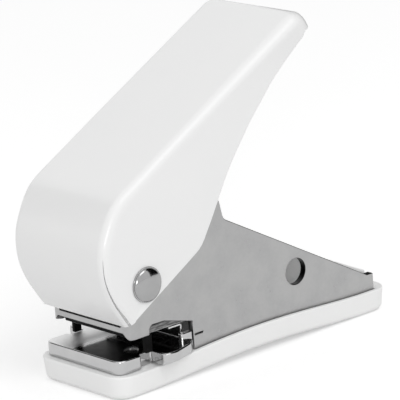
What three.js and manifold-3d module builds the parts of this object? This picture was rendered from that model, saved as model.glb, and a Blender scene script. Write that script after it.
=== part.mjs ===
// Dart flight punch: a white lever handle riveted to a plated steel frame over a clipped-on base.
// Millimetres, +Z up, +X toward the rear, nose toward -X.
// The origin is on the rest plane under the middle of the whole length and width.
import * as THREE from 'three';
import { mergeVertices } from 'three/addons/utils/BufferGeometryUtils.js';
import Module from 'manifold-3d';

const wasm = await Module();
wasm.setup();

// Base, a shallow white tray
const BASE_LENGTH = 100;
const BASE_HALF_WIDTH = 17.5;
const BASE_HEIGHT = 6.5;
const BASE_CORNER_RADIUS = 5.5;
const BASE_WALL = 1.3;
const BASE_FLOOR = 1.4;
const BASE_EDGE_ROUNDING = 1.7;
const BASE_DRAFT = 0.6;
const BASE_ARCH = 1.6;
const PAD_END = 10;

// Sheet frame
const FRAME_FRONT = 5.65;
const FRAME_REAR = 95;
const FRAME_HALF_WIDTH = 15.9;
const FRAME_SHEET = 2;
const FRAME_BOTTOM = 3.3;
const NOSE_BOTTOM = 15.2;
const THROAT_END = 27.7;
const FRONT_WALL_BOTTOM = 16.9;
const FRONT_WALL_TOP = 18.9;
const FRAME_REAR_HEIGHT = 11.1;
const SIGHT_HOLE = { x: 65.7, z: 19, radius: 3.66 };

// Lower jaw
const DIE_TOP = 10.4;
const DIE_BOTTOM = 6.65;
const DIE_SHEET = 1.6;
const DIE_HALF_WIDTH = 15.4;
const WING_HALF_WIDTH = 20.4;
const WING_BOTTOM = 7.6;
const EAR = { x0: 24.2, x1: 27.3, inside: 14.2, outside: 15.8, top: 12.5 };

// Punch and its axis
const PUNCH_X = 19;
const PUNCH_RADIUS = 1.75;
const PUNCH_TIP = 15.5;
const PUNCH_TOP = 30.2;
const HOLE_RADIUS = 1.83;
const GUIDE_BOTTOM = 14.65;
const GUIDE_TOP = 16.9;
const FINGER = { inside: 14.0, outside: 15.0, bottom: 9.5, top: 15.1 };

// Lever handle
const PIVOT = { x: 10.6, z: 30.1 };
const PIVOT_RADIUS = 3;
const HANDLE_HALF_WIDTH = 18.6;
const HANDLE_SHEET = 1.1;
const HANDLE_FOLD = 2.6;
const REAR_CORNER = 4.5;
const RIVET_HEAD_RADIUS = 4.8;

const CLEARANCE = 0.3;

// Positions along the length are measured from the front of the base
const HANDLE_FRONT = -3.5;
const SHIFT = -(HANDLE_FRONT + BASE_LENGTH) / 2;

// Mesh and solid helpers
function toSolid(geometry) {
  const g = geometry.clone();
  for (const name of Object.keys(g.attributes)) {
    if (name !== 'position') g.deleteAttribute(name);
  }
  const merged = mergeVertices(g, 1e-4);
  return new wasm.Manifold(new wasm.Mesh({
    numProp: 3,
    vertProperties: new Float32Array(merged.attributes.position.array),
    triVerts: new Uint32Array(merged.index.array),
  }));
}

function toGeometry(solid) {
  const mesh = solid.getMesh();
  const g = new THREE.BufferGeometry();
  g.setAttribute('position', new THREE.BufferAttribute(new Float32Array(mesh.vertProperties), 3));
  g.setIndex(new THREE.BufferAttribute(new Uint32Array(mesh.triVerts), 1));
  const flat = g.toNonIndexed();
  flat.computeVertexNormals();
  return flat;
}

function shapeOf(points) {
  return new THREE.Shape(points.map(([x, y]) => new THREE.Vector2(x, y)));
}

// A side-view outline (x, z) made solid from y0 to y1
function acrossY(points, y0, y1, rounding = 0, steps = 3) {
  const g = new THREE.ExtrudeGeometry(shapeOf(points), {
    depth: y1 - y0 - 2 * rounding,
    bevelEnabled: rounding > 0,
    bevelThickness: rounding,
    bevelSize: rounding,
    bevelOffset: -rounding,
    bevelSegments: steps,
    curveSegments: 12,
  });
  g.rotateX(Math.PI / 2);
  g.translate(0, y1 - rounding, 0);
  return toSolid(g);
}

// A plan outline (x, y) made solid from z0 to z1
function alongZ(points, z0, z1) {
  const g = new THREE.ExtrudeGeometry(shapeOf(points), { depth: z1 - z0, bevelEnabled: false });
  g.translate(0, 0, z0);
  return toSolid(g);
}

function box(x0, x1, y0, y1, z0, z1) {
  const g = new THREE.BoxGeometry(x1 - x0, y1 - y0, z1 - z0);
  g.translate((x0 + x1) / 2, (y0 + y1) / 2, (z0 + z1) / 2);
  return toSolid(g);
}

function turned(profile, segments = 32) {
  const points = profile.map(([r, h]) => new THREE.Vector2(r, h));
  return new THREE.LatheGeometry(points, segments);
}

function rodZ(x, y, z0, z1, radius, segments = 24) {
  const g = turned([[0, z0], [radius, z0], [radius, z1], [0, z1]], segments);
  g.rotateX(Math.PI / 2);
  g.translate(x, y, 0);
  return toSolid(g);
}

function rodY(x, z, y0, y1, radius, segments = 32) {
  const g = turned([[0, y0], [radius, y0], [radius, y1], [0, y1]], segments);
  g.translate(x, 0, z);
  return toSolid(g);
}

// Corner points of a rounded rectangle in plan, front and rear corners of their own radius
function roundedPlan(x0, x1, half, frontRadius, rearRadius, steps = 5) {
  const out = [];
  const corner = (cx, cy, r, a0) => {
    for (let i = 0; i <= steps; i += 1) {
      const a = a0 + (Math.PI / 2) * (i / steps);
      out.push([cx + r * Math.cos(a), cy + r * Math.sin(a)]);
    }
  };
  corner(x1 - rearRadius, half - rearRadius, rearRadius, 0);
  corner(x0 + frontRadius, half - frontRadius, frontRadius, Math.PI / 2);
  corner(x0 + frontRadius, -half + frontRadius, frontRadius, Math.PI);
  corner(x1 - rearRadius, -half + rearRadius, rearRadius, 1.5 * Math.PI);
  return out;
}

// Closed skin over a list of equal point rings, each its own mirror image across the length
function loft(rings) {
  const n = rings[0].length;
  const positions = rings.flat(2);
  const index = [];
  for (let r = 0; r + 1 < rings.length; r += 1) {
    for (let i = 0; i < n; i += 1) {
      const a = r * n + i;
      const b = r * n + ((i + 1) % n);
      index.push(a, b, b + n, a, b + n, a + n);
    }
  }
  // Both ends close in strips across the width, between points that mirror each other
  const last = (rings.length - 1) * n;
  for (let i = 0; i + 1 < n / 2; i += 1) {
    const j = n - 1 - i;
    index.push(j, i + 1, i, j, j - 1, i + 1);
    index.push(last + i, last + i + 1, last + j, last + i + 1, last + j - 1, last + j);
  }
  const g = new THREE.BufferGeometry();
  g.setAttribute('position', new THREE.Float32BufferAttribute(positions, 3));
  g.setIndex(index);
  return toSolid(g);
}

// Straight-sided bar through stations of four corners each
function bar(stations) {
  const positions = stations.flat(2);
  const index = [];
  for (let s = 0; s + 1 < stations.length; s += 1) {
    for (let i = 0; i < 4; i += 1) {
      const a = s * 4 + i;
      const b = s * 4 + ((i + 1) % 4);
      index.push(a, b, b + 4, a, b + 4, a + 4);
    }
  }
  const last = (stations.length - 1) * 4;
  index.push(0, 2, 1, 0, 3, 2);
  index.push(last, last + 1, last + 2, last, last + 2, last + 3);
  const g = new THREE.BufferGeometry();
  g.setAttribute('position', new THREE.Float32BufferAttribute(positions, 3));
  g.setIndex(index);
  let solid = toSolid(g);
  if (solid.volume() < 0) {
    for (let i = 0; i < index.length; i += 3) {
      const t = index[i + 1];
      index[i + 1] = index[i + 2];
      index[i + 2] = t;
    }
    g.setIndex(index);
    solid = toSolid(g);
  }
  return solid;
}

const materials = {
  plastic: () => new THREE.MeshStandardMaterial({ color: 0xf2f2f0, roughness: 0.45, metalness: 0 }),
  paint: () => new THREE.MeshStandardMaterial({ color: 0xf4f4f3, roughness: 0.3, metalness: 0 }),
  plate: () => new THREE.MeshStandardMaterial({ color: 0xb4b5b6, roughness: 0.32, metalness: 1 }),
  polished: () => new THREE.MeshStandardMaterial({ color: 0xc8c9cb, roughness: 0.12, metalness: 1 }),
  blackened: () => new THREE.MeshStandardMaterial({ color: 0x3a3b3c, roughness: 0.4, metalness: 0.8 }),
  steel: () => new THREE.MeshStandardMaterial({ color: 0x8f9194, roughness: 0.35, metalness: 1 }),
};

const root = new THREE.Group();
root.name = 'dart_flight_punch';
function add(name, solidOrGeometry, material) {
  const geometry = solidOrGeometry.isBufferGeometry ? solidOrGeometry : toGeometry(solidOrGeometry);
  geometry.translate(SHIFT, 0, 0);
  const mesh = new THREE.Mesh(geometry, material());
  mesh.name = name;
  root.add(mesh);
  return mesh;
}

// Base: bottom and rim bow up together between two flat end pads
function archAt(x) {
  const a = Math.min(Math.max((x - PAD_END) / (BASE_LENGTH / 2 - PAD_END), 0), 1);
  const b = Math.min(Math.max((BASE_LENGTH - PAD_END - x) / (BASE_LENGTH / 2 - PAD_END), 0), 1);
  const t = Math.min(a, b);
  return BASE_ARCH * Math.sin((Math.PI / 2) * t) ** 1.5;
}

function slabRing(inset, z, steps = 24) {
  const half = BASE_HALF_WIDTH - inset;
  const radius = BASE_CORNER_RADIUS - inset;
  const corners = roundedPlan(inset, BASE_LENGTH - inset, half, radius, radius);
  const ring = [];
  for (let i = 0; i < corners.length; i += 1) {
    const p = corners[i];
    const q = corners[(i + 1) % corners.length];
    ring.push(p);
    if (Math.abs(p[0] - q[0]) > 20) {
      for (let k = 1; k < steps; k += 1) {
        const t = k / steps;
        ring.push([p[0] + (q[0] - p[0]) * t, p[1] + (q[1] - p[1]) * t]);
      }
    }
  }
  return ring.map(([x, y]) => [x, y, z + archAt(x)]);
}

function gridSlab(x0, x1, half, z0, z1) {
  const outline = [];
  for (let i = 0; i <= 24; i += 1) outline.push([x0 + ((x1 - x0) * i) / 24, 0]);
  const lower = outline.map(([x]) => [x, z0 + archAt(x)]);
  const upper = outline.map(([x]) => [x, z1 + archAt(x)]).reverse();
  return acrossY([...lower, ...upper], -half, half);
}

const r = BASE_EDGE_ROUNDING;
let base = loft([
  slabRing(BASE_DRAFT + r, 0),
  slabRing(BASE_DRAFT + r * 0.5, r * 0.13),
  slabRing(BASE_DRAFT + r * 0.13, r * 0.5),
  slabRing(BASE_DRAFT * 0.75, r),
  slabRing(0, BASE_HEIGHT - 0.5),
  slabRing(0.12, BASE_HEIGHT - 0.15),
  slabRing(0.45, BASE_HEIGHT),
]);
// Chip pocket under the lower jaw, then the wide pocket that takes the frame's lower edges
base = base.subtract(gridSlab(6, 30, 12.4, BASE_FLOOR, 20));
base = base.subtract(gridSlab(THROAT_END - CLEARANCE, FRAME_REAR + CLEARANCE,
  BASE_HALF_WIDTH - BASE_WALL, BASE_FLOOR, 20));
// Hollow tail block between the cheeks, its sloped top standing a little over theirs
const tailBlock = acrossY([[80, 1.2], [94.6, 1.2], [94.6, 11.4], [80, 18.4]], -13.5, 13.5);
base = base.add(tailBlock);
base = base.subtract(box(81.6, 91.8, -11.9, 11.9, 2.6, 20));
base = base.subtract(box(86.6, 91.8, -4, 4, -2, 3));
// Release slot behind the frame
base = base.subtract(box(96.6, 98.2, -5, 5, 4.2, 9));
add('base_tray', base, materials.plastic);

// Frame: one sheet bent in plan around the nose, with tall cheeks that carry the rivet
const cheek = [
  [FRAME_FRONT, 17.3],
  [FRAME_FRONT + 0.25, 16.3],
  [FRAME_FRONT + 0.9, 15.5],
  [FRAME_FRONT + 2, NOSE_BOTTOM],
  [12.6, NOSE_BOTTOM],
  [12.7, 16.4],
  [13.3, 17.3],
  [14.6, 17.75],
  [17.0, 17.75],
  [19.5, 17.25],
  [THROAT_END - 0.3, NOSE_BOTTOM],
  [THROAT_END, NOSE_BOTTOM - 0.3],
  [THROAT_END, FRAME_BOTTOM],
  [FRAME_REAR, FRAME_BOTTOM],
  [FRAME_REAR, FRAME_REAR_HEIGHT - 0.3],
  [FRAME_REAR - 0.3, FRAME_REAR_HEIGHT],
  [92.6, FRAME_REAR_HEIGHT],
  [41.9, 39.4],
  [40.8, 40.4],
  [40.2, 41.6],
  [39.8, 44.2],
  [39.0, 45.6],
  [37.4, 46.3],
  [17.5, 47.2],
  [14.5, 46.6],
  [12.2, 44.8],
  [FRAME_FRONT, 34.5],
];
let frame = acrossY(cheek, -FRAME_HALF_WIDTH, FRAME_HALF_WIDTH);
const framePlan = roundedPlan(FRAME_FRONT, FRAME_REAR, FRAME_HALF_WIDTH, 2.4, 0.5, 6);
frame = frame.intersect(alongZ(framePlan, 0, 60));
const innerHalf = FRAME_HALF_WIDTH - FRAME_SHEET;
const innerPlan = roundedPlan(FRAME_FRONT + FRAME_SHEET, FRAME_REAR + 10, innerHalf, 0.6, 0.2, 3);
frame = frame.subtract(alongZ(innerPlan, -5, 60));
frame = frame.subtract(box(0, FRAME_FRONT + 2.01, -13.4, 13.4, 10, FRONT_WALL_BOTTOM));
frame = frame.subtract(box(0, FRAME_FRONT + 2.01, -12.6, 12.6, FRONT_WALL_TOP, 60));
frame = frame.subtract(rodY(PIVOT.x, PIVOT.z, -20, 20, PIVOT_RADIUS + 0.1));
frame = frame.subtract(rodY(SIGHT_HOLE.x, SIGHT_HOLE.z, -20, 20, SIGHT_HOLE.radius, 40));
// Narrow slots that show the tongue's edge behind the throat
frame = frame.subtract(box(28.1, 31.2, -20, 20, 11.05, 11.4));
add('frame', frame, materials.plate);

// Lower jaw: a formed plate with a turned-down rim, side notches, rounded wings and two ears
function jawPlan(inset) {
  const half = [
    [1.9 + inset, 0],
    [1.9 + inset, DIE_HALF_WIDTH - 2.6],
    [2.35 + inset * 0.85, DIE_HALF_WIDTH - 1.25],
    [3.3 + inset * 0.55, DIE_HALF_WIDTH - 0.4 - inset * 0.5],
    [4.7 + inset * 0.1, DIE_HALF_WIDTH - inset],
    [9.0 - inset * 0.6, DIE_HALF_WIDTH - inset],
    [9.7 - inset, DIE_HALF_WIDTH - 0.6 - inset],
    [10.0 - inset, 14.2 - inset],
    [10.8 - inset, 13.7 - inset],
    [13.7 + inset * 0.8, 13.8 - inset],
    [14.2 + inset, 14.4 - inset],
    [13.9 + inset, 18.9 - inset * 0.5],
    [14.5 + inset * 0.7, 19.8 - inset * 0.7],
    [15.7 + inset * 0.3, WING_HALF_WIDTH - 0.15 - inset],
    [17.2, WING_HALF_WIDTH - inset],
    [19.4 - inset * 0.2, 20.0 - inset],
    [22.0 - inset * 0.4, 19.2 - inset],
    [24.6 - inset * 0.6, 18.0 - inset],
    [26.6 - inset, 16.4 - inset],
    [27.2 - inset, 13.6 - inset],
  ];
  const far = half.slice(1).reverse().map(([x, y]) => [x, y]);
  const near = half.slice(1).map(([x, y]) => [x, -y]);
  return [...near, ...far];
}
let jaw = alongZ(jawPlan(0.55), DIE_TOP - 0.25, DIE_TOP);
jaw = jaw.add(alongZ(jawPlan(0.18), DIE_TOP - 0.7, DIE_TOP - 0.25));
jaw = jaw.add(alongZ(jawPlan(0), DIE_BOTTOM, DIE_TOP - 0.7));
jaw = jaw.subtract(alongZ(jawPlan(DIE_SHEET), 0, DIE_TOP - DIE_SHEET));
jaw = jaw.subtract(box(9.6, 14.1, -25, 25, 0, DIE_TOP - DIE_SHEET - 0.1));
jaw = jaw.subtract(box(13.2, 40, -25, 25, 0, WING_BOTTOM));
// Flanged tongue between the cheeks
jaw = jaw.add(box(24, 46, -13.3, 13.3, DIE_TOP - DIE_SHEET, DIE_TOP));
jaw = jaw.add(box(28.2, 46, -13.3, -11.7, 5.4, DIE_TOP - 0.5));
jaw = jaw.add(box(28.2, 46, 11.7, 13.3, 5.4, DIE_TOP - 0.5));
// Ears beside the throat end
jaw = jaw.add(box(EAR.x0, EAR.x1, -EAR.outside, -EAR.inside, DIE_TOP - 1.2, EAR.top));
jaw = jaw.add(box(EAR.x0, EAR.x1, EAR.inside, EAR.outside, DIE_TOP - 1.2, EAR.top));
jaw = jaw.subtract(rodZ(PUNCH_X, 0, 5, 15, HOLE_RADIUS));
add('die_plate', jaw, materials.polished);

// Upper jaw plate that guides the punch, with a finger down each side into the lower jaw's notch
let guide = box(8.2, 27.2, -13.6, 13.6, GUIDE_BOTTOM, GUIDE_TOP);
const finger = [
  [11.1, FINGER.top],
  [11.1, FINGER.bottom + 0.7],
  [11.3, FINGER.bottom + 0.25],
  [11.8, FINGER.bottom],
  [13.6, FINGER.bottom],
  [13.6, FINGER.top],
];
for (const side of [-1, 1]) {
  const [y0, y1] = [side * FINGER.inside, side * FINGER.outside].sort((a, b) => a - b);
  const [lug0, lug1] = [side * 13, side * FINGER.outside].sort((a, b) => a - b);
  guide = guide.add(acrossY(finger, y0, y1));
  guide = guide.add(box(11.1, 13.6, lug0, lug1, GUIDE_BOTTOM, FINGER.top));
}
guide = guide.subtract(rodZ(PUNCH_X, 0, 12, 20, HOLE_RADIUS));
add('guide_plate', guide, materials.blackened);

// Bent strip under the guide that stops the flight at the end of the throat
const stopStrip = [
  [21.3, 14.6],
  [21.3, 14.0],
  [24.9, 14.0],
  [25.3, 13.6],
  [25.3, DIE_TOP + 0.2],
  [25.9, DIE_TOP + 0.2],
  [25.9, 13.9],
  [25.2, 14.6],
];
add('flight_stop', acrossY(stopStrip, -13.5, 13.5), materials.polished);

// Punch with its cap, its ring, its spring and the spring's seat
const pin = turned([
  [0, PUNCH_TIP + 0.5],
  [PUNCH_RADIUS, PUNCH_TIP],
  [PUNCH_RADIUS, 26.8],
  [1.45, 26.8],
  [1.45, 27.5],
  [PUNCH_RADIUS, 27.5],
  [PUNCH_RADIUS, PUNCH_TOP - 0.3],
  [PUNCH_RADIUS - 0.3, PUNCH_TOP],
  [0, PUNCH_TOP],
], 28);
pin.rotateX(Math.PI / 2);
pin.translate(PUNCH_X, 0, 0);
add('punch_pin', toSolid(pin), materials.steel);

const cap = turned([
  [1.85, 27.6],
  [3.9, 27.6],
  [4.1, 27.8],
  [4.1, 28.7],
  [3.9, 28.9],
  [3.0, 28.9],
  [2.9, 30.4],
  [2.1, 30.85],
  [0, 31.0],
  [0, 30.35],
  [1.85, 30.35],
  [1.85, 27.6],
], 32);
cap.rotateX(Math.PI / 2);
cap.translate(PUNCH_X, 0, 0);
add('punch_cap', toSolid(cap), materials.steel);

// The ring is open at one side, like the clip it is
let ring = rodZ(PUNCH_X, 0, 26.9, 27.4, 2.9, 28);
ring = ring.subtract(rodZ(PUNCH_X, 0, 26, 28, 1.55, 28));
ring = ring.subtract(box(PUNCH_X, PUNCH_X + 5, -1.3, 1.3, 26, 28));
add('punch_ring', ring, materials.steel);

const washer = rodZ(PUNCH_X, 0, 17.35, 17.85, 5.0, 32)
  .subtract(rodZ(PUNCH_X, 0, 16, 19, 2.1, 32));
add('spring_seat', washer, materials.steel);

// Return spring of 0.6 wire, held between the seat and the punch's cap
const SPRING = { low: 18.2, high: 27.25, radius: 3.6, wire: 0.3, curls: 4.1 };
function springPoint(t) {
  const a = t * SPRING.curls * Math.PI * 2;
  const z = SPRING.low + (SPRING.high - SPRING.low) * t;
  return [PUNCH_X + SPRING.radius * Math.cos(a), SPRING.radius * Math.sin(a), z];
}
const SPRING_STEPS = 42;
const springRings = [];
for (let i = 0; i <= SPRING_STEPS; i += 1) {
  const t = i / SPRING_STEPS;
  const a = t * SPRING.curls * Math.PI * 2;
  const p = springPoint(t);
  const ringPoints = [];
  for (let k = 0; k < 5; k += 1) {
    const b = (k / 5) * Math.PI * 2;
    const out = SPRING.wire * Math.cos(b);
    ringPoints.push([
      p[0] + out * Math.cos(a),
      p[1] + out * Math.sin(a),
      p[2] + SPRING.wire * Math.sin(b),
    ]);
  }
  springRings.push(ringPoints);
}
const springIndex = [];
for (let s = 0; s < SPRING_STEPS; s += 1) {
  for (let k = 0; k < 5; k += 1) {
    const a = s * 5 + k;
    const b = s * 5 + ((k + 1) % 5);
    springIndex.push(a, a + 5, b + 5, a, b + 5, b);
  }
}
for (let k = 1; k < 4; k += 1) {
  springIndex.push(0, k, k + 1);
  springIndex.push(SPRING_STEPS * 5, SPRING_STEPS * 5 + k + 1, SPRING_STEPS * 5 + k);
}
const spring = new THREE.BufferGeometry();
spring.setAttribute('position', new THREE.Float32BufferAttribute(springRings.flat(2), 3));
spring.setIndex(springIndex);
add('return_spring', spring, materials.steel);
const springPitch = (SPRING.high - SPRING.low) / SPRING.curls;
console.log('spring gap between curls', (springPitch - 2 * SPRING.wire).toFixed(2), 'mm');

// Pivot: rivet with a domed near head, a separate far head, washers and the sleeve between
const near = -HANDLE_HALF_WIDTH;
let rivet = toSolid(turned([
  [0, near - 1.75],
  [1.6, near - 1.65],
  [3.1, near - 1.3],
  [4.2, near - 0.65],
  [4.45, near - 0.42],
  [RIVET_HEAD_RADIUS, near - 0.36],
  [RIVET_HEAD_RADIUS, near - 0.05],
  [PIVOT_RADIUS, near - 0.05],
  [PIVOT_RADIUS, -near + 0.4],
  [0, -near + 0.4],
], 36).translate(PIVOT.x, 0, PIVOT.z));
add('pivot_rivet', rivet, materials.polished);

const farHead = toSolid(turned([
  [0, -near + 0.45],
  [PIVOT_RADIUS + 0.05, -near + 0.45],
  [PIVOT_RADIUS + 0.05, -near + 0.05],
  [RIVET_HEAD_RADIUS, -near + 0.05],
  [RIVET_HEAD_RADIUS, -near + 0.36],
  [4.4, -near + 0.45],
  [3.0, -near + 1.3],
  [1.5, -near + 1.65],
  [0, -near + 1.75],
], 36).translate(PIVOT.x, 0, PIVOT.z));
add('rivet_far_head', farHead, materials.polished);

const shellInside = HANDLE_HALF_WIDTH - HANDLE_SHEET;
const washerSolid = (y0, y1) => rodY(PIVOT.x, PIVOT.z, y0, y1, 5.6)
  .subtract(rodY(PIVOT.x, PIVOT.z, -30, 30, PIVOT_RADIUS + 0.08));
add('pivot_washer_near', washerSolid(-shellInside + 0.1, -FRAME_HALF_WIDTH - 0.05), materials.steel);
add('pivot_washer_far', washerSolid(FRAME_HALF_WIDTH + 0.05, shellInside - 0.1), materials.steel);

const sleeve = rodY(PIVOT.x, PIVOT.z, -9.6, 9.6, 3.9)
  .subtract(rodY(PIVOT.x, PIVOT.z, -30, 30, PIVOT_RADIUS + 0.1));
add('pivot_sleeve', sleeve, materials.steel);

// Handle: outer form, inner form and the trimmed side outline
const TOP_RISE = 0.55;
const TOP_AT_FRONT = 52.2;
const topAt = (x) => TOP_AT_FRONT + TOP_RISE * x;
const front = [
  [4.6, 54.55],
  [2.2, 52.45],
  [0.4, 49.9],
  [-1.2, 46.9],
  [-2.6, 43.6],
  [-3.35, 40.2],
  [HANDLE_FRONT, 37.0],
  [-3.05, 33.4],
  [-1.95, 30.0],
  [-0.2, 26.4],
  [1.8, 23.2],
  [3.9, 20.0],
];
const REAR_TOP = [71.1, topAt(71.1)];
const REAR_LOW = [76.2, 77];
const bigOutline = [
  [8, topAt(8)],
  ...front,
  [9.15, 12],
  [30, 12],
  REAR_LOW,
  REAR_TOP,
];
function inward(points, distance) {
  const n = points.length;
  return points.map((p, i) => {
    const a = points[(i + n - 1) % n];
    const b = points[(i + 1) % n];
    const u = new THREE.Vector2(p[0] - a[0], p[1] - a[1]).normalize();
    const v = new THREE.Vector2(b[0] - p[0], b[1] - p[1]).normalize();
    const nu = new THREE.Vector2(-u.y, u.x);
    const nv = new THREE.Vector2(-v.y, v.x);
    const m = nu.clone().add(nv);
    const k = distance / Math.max(0.4, m.dot(nu));
    return [p[0] + m.x * k, p[1] + m.y * k];
  });
}
const wide = HANDLE_HALF_WIDTH;
const outer = acrossY(bigOutline, -wide, wide, HANDLE_FOLD, 4);
const innerOutline = inward(bigOutline, HANDLE_SHEET);
const inner = acrossY(innerOutline, -shellInside, shellInside, HANDLE_FOLD - HANDLE_SHEET, 4);
const lowerEdge = [
  [29.2, 34.55],
  [30.5, 35.4],
  [31.6, 36.9],
  [34.4, 41.7],
  [37.3, 46.6],
  [40, 51.2],
  [43.2, 55.9],
  [46.9, 60.6],
  [50.5, 65.0],
  [54.9, 69.6],
  [59.2, 74.0],
  [64, 78.6],
  [68.6, 82.8],
  [71.2, 84.9],
  [72.6, 86.6],
  [74, 87.4],
  [71.9, 90.1],
  [70.6, 91.0],
  [69.2, 90.5],
];
const kept = [[-10, 18], [2.0, 19.9], [4.1, 20.05], [5.3, 21.3], ...lowerEdge, [60, 110], [-10, 110]];
// The rear corners are rounded in plan, square to the rear wall
const rearTilt = Math.atan2(REAR_LOW[0] - REAR_TOP[0], REAR_TOP[1] - REAR_LOW[1]);
const rearPlane = REAR_TOP[0] * Math.cos(rearTilt) + REAR_TOP[1] * Math.sin(rearTilt);
function rearRounded(solid, inset) {
  const plan = roundedPlan(-90, rearPlane - inset, wide - inset, 0.5, REAR_CORNER - inset);
  return solid.intersect(alongZ(plan, -90, 160).rotate([0, -rearTilt * 180 / Math.PI, 0]));
}
let shell = rearRounded(outer, 0).subtract(rearRounded(inner, HANDLE_SHEET));
shell = shell.intersect(acrossY(kept, -30, 30));
// Open corner seams between the front flap and the side panels
const seamPath = [[-3.42, 38.4], [-3.3, 35.4], ...front.slice(7), [5.9, 17.0]];
for (const side of [-1, 1]) {
  const stations = seamPath.map((p, i) => {
    const a = seamPath[Math.max(i - 1, 0)];
    const b = seamPath[Math.min(i + 1, seamPath.length - 1)];
    const t = new THREE.Vector2(b[0] - a[0], b[1] - a[1]).normalize();
    const n = [t.y, -t.x];
    const out = [n[0] * Math.SQRT1_2, side * Math.SQRT1_2, n[1] * Math.SQRT1_2];
    const over = [n[0] * Math.SQRT1_2, -side * Math.SQRT1_2, n[1] * Math.SQRT1_2];
    const g = 0.1 + 0.028 * i;
    const c = [p[0] - n[0] * 0.9, side * (wide - 0.9), p[1] - n[1] * 0.9];
    const at = (u, w) => c.map((v, k) => v + out[k] * u + over[k] * w);
    return [at(2, g), at(2, -g), at(-2.2, -g), at(-2.2, g)];
  });
  shell = shell.subtract(bar(stations));
}
shell = shell.subtract(rodY(PIVOT.x, PIVOT.z, -30, 30, PIVOT_RADIUS + 0.1));
add('handle_shell', shell, materials.paint);

// Press lever: two cheeks and a web welded under the handle's top, its nose over the punch
const NOSE = { x: 18.2, z: 34.6, radius: 3.4 };
const leverCheek = [
  [5.4, 31.5],
  [6.0, 27.9],
  [8.2, 25.4],
  [11.2, 24.7],
  [14.2, 26.0],
  [15.9, 29.4],
  [17.0, 32.0],
  [21.6, 33.6],
  [25.0, 37.5],
  [46.5, topAt(46.5) - 6.5],
  [46.5, topAt(46.5) - 1.7],
  [14.0, topAt(14.0) - 1.7],
  [8.0, 46.0],
];
let lever = acrossY(leverCheek, -11.6, 11.6);
lever = lever.subtract(box(-10, 60, -10, 10, 20, 37.3));
lever = lever.subtract(acrossY([
  [2, 30], [60, 30], [60, topAt(60) - 3.4], [2, topAt(2) - 3.4],
], -10, 10));
lever = lever.add(rodY(NOSE.x, NOSE.z, -10.5, 10.5, NOSE.radius, 28));
lever = lever.subtract(rodY(PIVOT.x, PIVOT.z, -30, 30, PIVOT_RADIUS + 0.1));
add('press_lever', lever, materials.steel);

export default root;
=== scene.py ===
import bpy
import numpy as np
from mathutils import Matrix, Vector, geometry


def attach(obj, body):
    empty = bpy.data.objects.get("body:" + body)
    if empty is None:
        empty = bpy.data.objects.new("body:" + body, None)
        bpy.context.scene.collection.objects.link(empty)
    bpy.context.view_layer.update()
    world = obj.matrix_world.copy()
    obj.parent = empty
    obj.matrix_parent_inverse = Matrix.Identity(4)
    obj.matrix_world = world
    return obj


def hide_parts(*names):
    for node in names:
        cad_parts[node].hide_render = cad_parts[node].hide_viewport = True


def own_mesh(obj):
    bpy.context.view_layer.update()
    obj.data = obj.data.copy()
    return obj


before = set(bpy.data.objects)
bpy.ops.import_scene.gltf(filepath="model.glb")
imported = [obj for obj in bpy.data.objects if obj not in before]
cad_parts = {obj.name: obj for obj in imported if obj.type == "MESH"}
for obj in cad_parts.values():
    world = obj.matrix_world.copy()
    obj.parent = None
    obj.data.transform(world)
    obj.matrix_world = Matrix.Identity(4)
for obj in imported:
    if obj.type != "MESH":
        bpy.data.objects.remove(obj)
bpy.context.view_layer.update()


# Base tray
# A shallow tray moulded in white satin plastic, its rim and bottom bowed up between two flat pads.
# It clips over the lower edges of the sheet frame and catches the chips.

# Shapes are in millimetres with x from the front of this tray, and piece() takes them to metres
ORIGIN_X = 48.25
TRAY_LENGTH = 100.0
TRAY_HALF_WIDTH = 17.5
TRAY_HEIGHT = 6.5
TRAY_CORNER = 5.5
TRAY_FLOOR = 1.4
TRAY_BOW = 1.6
PAD_END = 10.0
WALL_DRAFT = 0.45
BOTTOM_ROUNDING = (1.85, 1.7)
RIM_ROUNDING = 0.4
LIP_ROUNDING = 0.25
FOOT_ROUNDING = 0.4
POCKET_FRONT = 6.0
POCKET_REAR = 95.3
CHIP_SIDE = 12.4
CHIP_CORNER = 1.0
WIDE_SIDE = 16.2
WIDE_CORNER = 0.6


def bow(x):
    """Rise of the tray at x: TRAY_BOW sin(90 t) ** 1.5, t from 0 at a pad to 1 between the pads."""
    t = np.minimum(x - PAD_END, TRAY_LENGTH - PAD_END - x) / (TRAY_LENGTH / 2 - PAD_END)
    return TRAY_BOW * np.sin(np.pi / 2 * np.clip(t, 0.0, 1.0)) ** 1.5


def arc(centre, radius, start, end, count):
    """Points centre + radius (cos a, sin a), with a going from start to end degrees."""
    a = np.radians(np.linspace(start, end, count))
    return np.array(centre) + radius * np.column_stack((np.cos(a), np.sin(a)))


def line(start, end, count):
    """Evenly spaced points from start up to, and without, end."""
    return np.linspace(start, end, count + 1)[:-1]


def mirrored(half):
    """Closed outline of a half with y <= 0, starting and ending on y = 0, and its mirror image."""
    return np.vstack((half, half[-2:0:-1] * (1, -1)))


def rounding(radius, count=7):
    """Insets and drops along a rounded edge, from the wall beside it to the face on top of it:
    radius (1 - cos a) and radius (1 - sin a), with a going from 0 to 90 degrees."""
    a = np.radians(np.linspace(0.0, 90.0, count))
    return radius * np.column_stack((1 - np.cos(a), 1 - np.sin(a)))


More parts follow.
